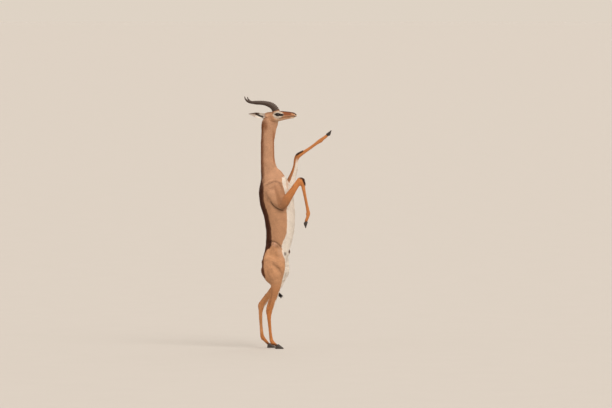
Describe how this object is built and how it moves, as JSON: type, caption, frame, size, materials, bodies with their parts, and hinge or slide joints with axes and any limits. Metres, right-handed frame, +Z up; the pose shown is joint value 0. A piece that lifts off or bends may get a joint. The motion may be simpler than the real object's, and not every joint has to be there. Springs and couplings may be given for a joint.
{
  "type": "gerenuk",
  "caption": "Life-size still model of an adult male gerenuk standing upright on its hind legs to browse, one foreleg reaching up and forward and the other folded.",
  "frame": {"origin": "middle of the bounding box at the level of the soles of the hind hooves", "axes": "+X the way the animal faces, +Y to its left side, +Z up along its standing height"},
  "size_m": [0.6838, 0.2726, 1.9802],
  "materials": {
    "coat": "short smooth hair, fawn with a darker brown back and white underside",
    "horn": "ringed dark horn",
    "hoof": "smooth dark horn",
    "eye": "wet, dark"
  },
  "bodies": {
    "root": {"head": "coat", "neck": "coat", "torso": "coat", "tail": "coat", "ear_right": "coat", "thigh_right": "coat", "shank_right": "coat", "hind_foot_right": "coat", "forearm_right": "coat", "fore_foot_right": "coat", "ear_left": "coat", "thigh_left": "coat", "shank_left": "coat", "hind_foot_left": "coat", "forearm_left": "coat", "fore_foot_left": "coat", "horn_right": "horn", "horn_left": "horn", "eye_right": "eye", "eye_left": "eye", "claw_hind_right_inner": "hoof", "claw_hind_right_outer": "hoof", "claw_hind_left_inner": "hoof", "claw_hind_left_outer": "hoof", "claw_fore_right_inner": "hoof", "claw_fore_right_outer": "hoof", "claw_fore_left_inner": "hoof", "claw_fore_left_outer": "hoof"}
  },
  "joints": []
}
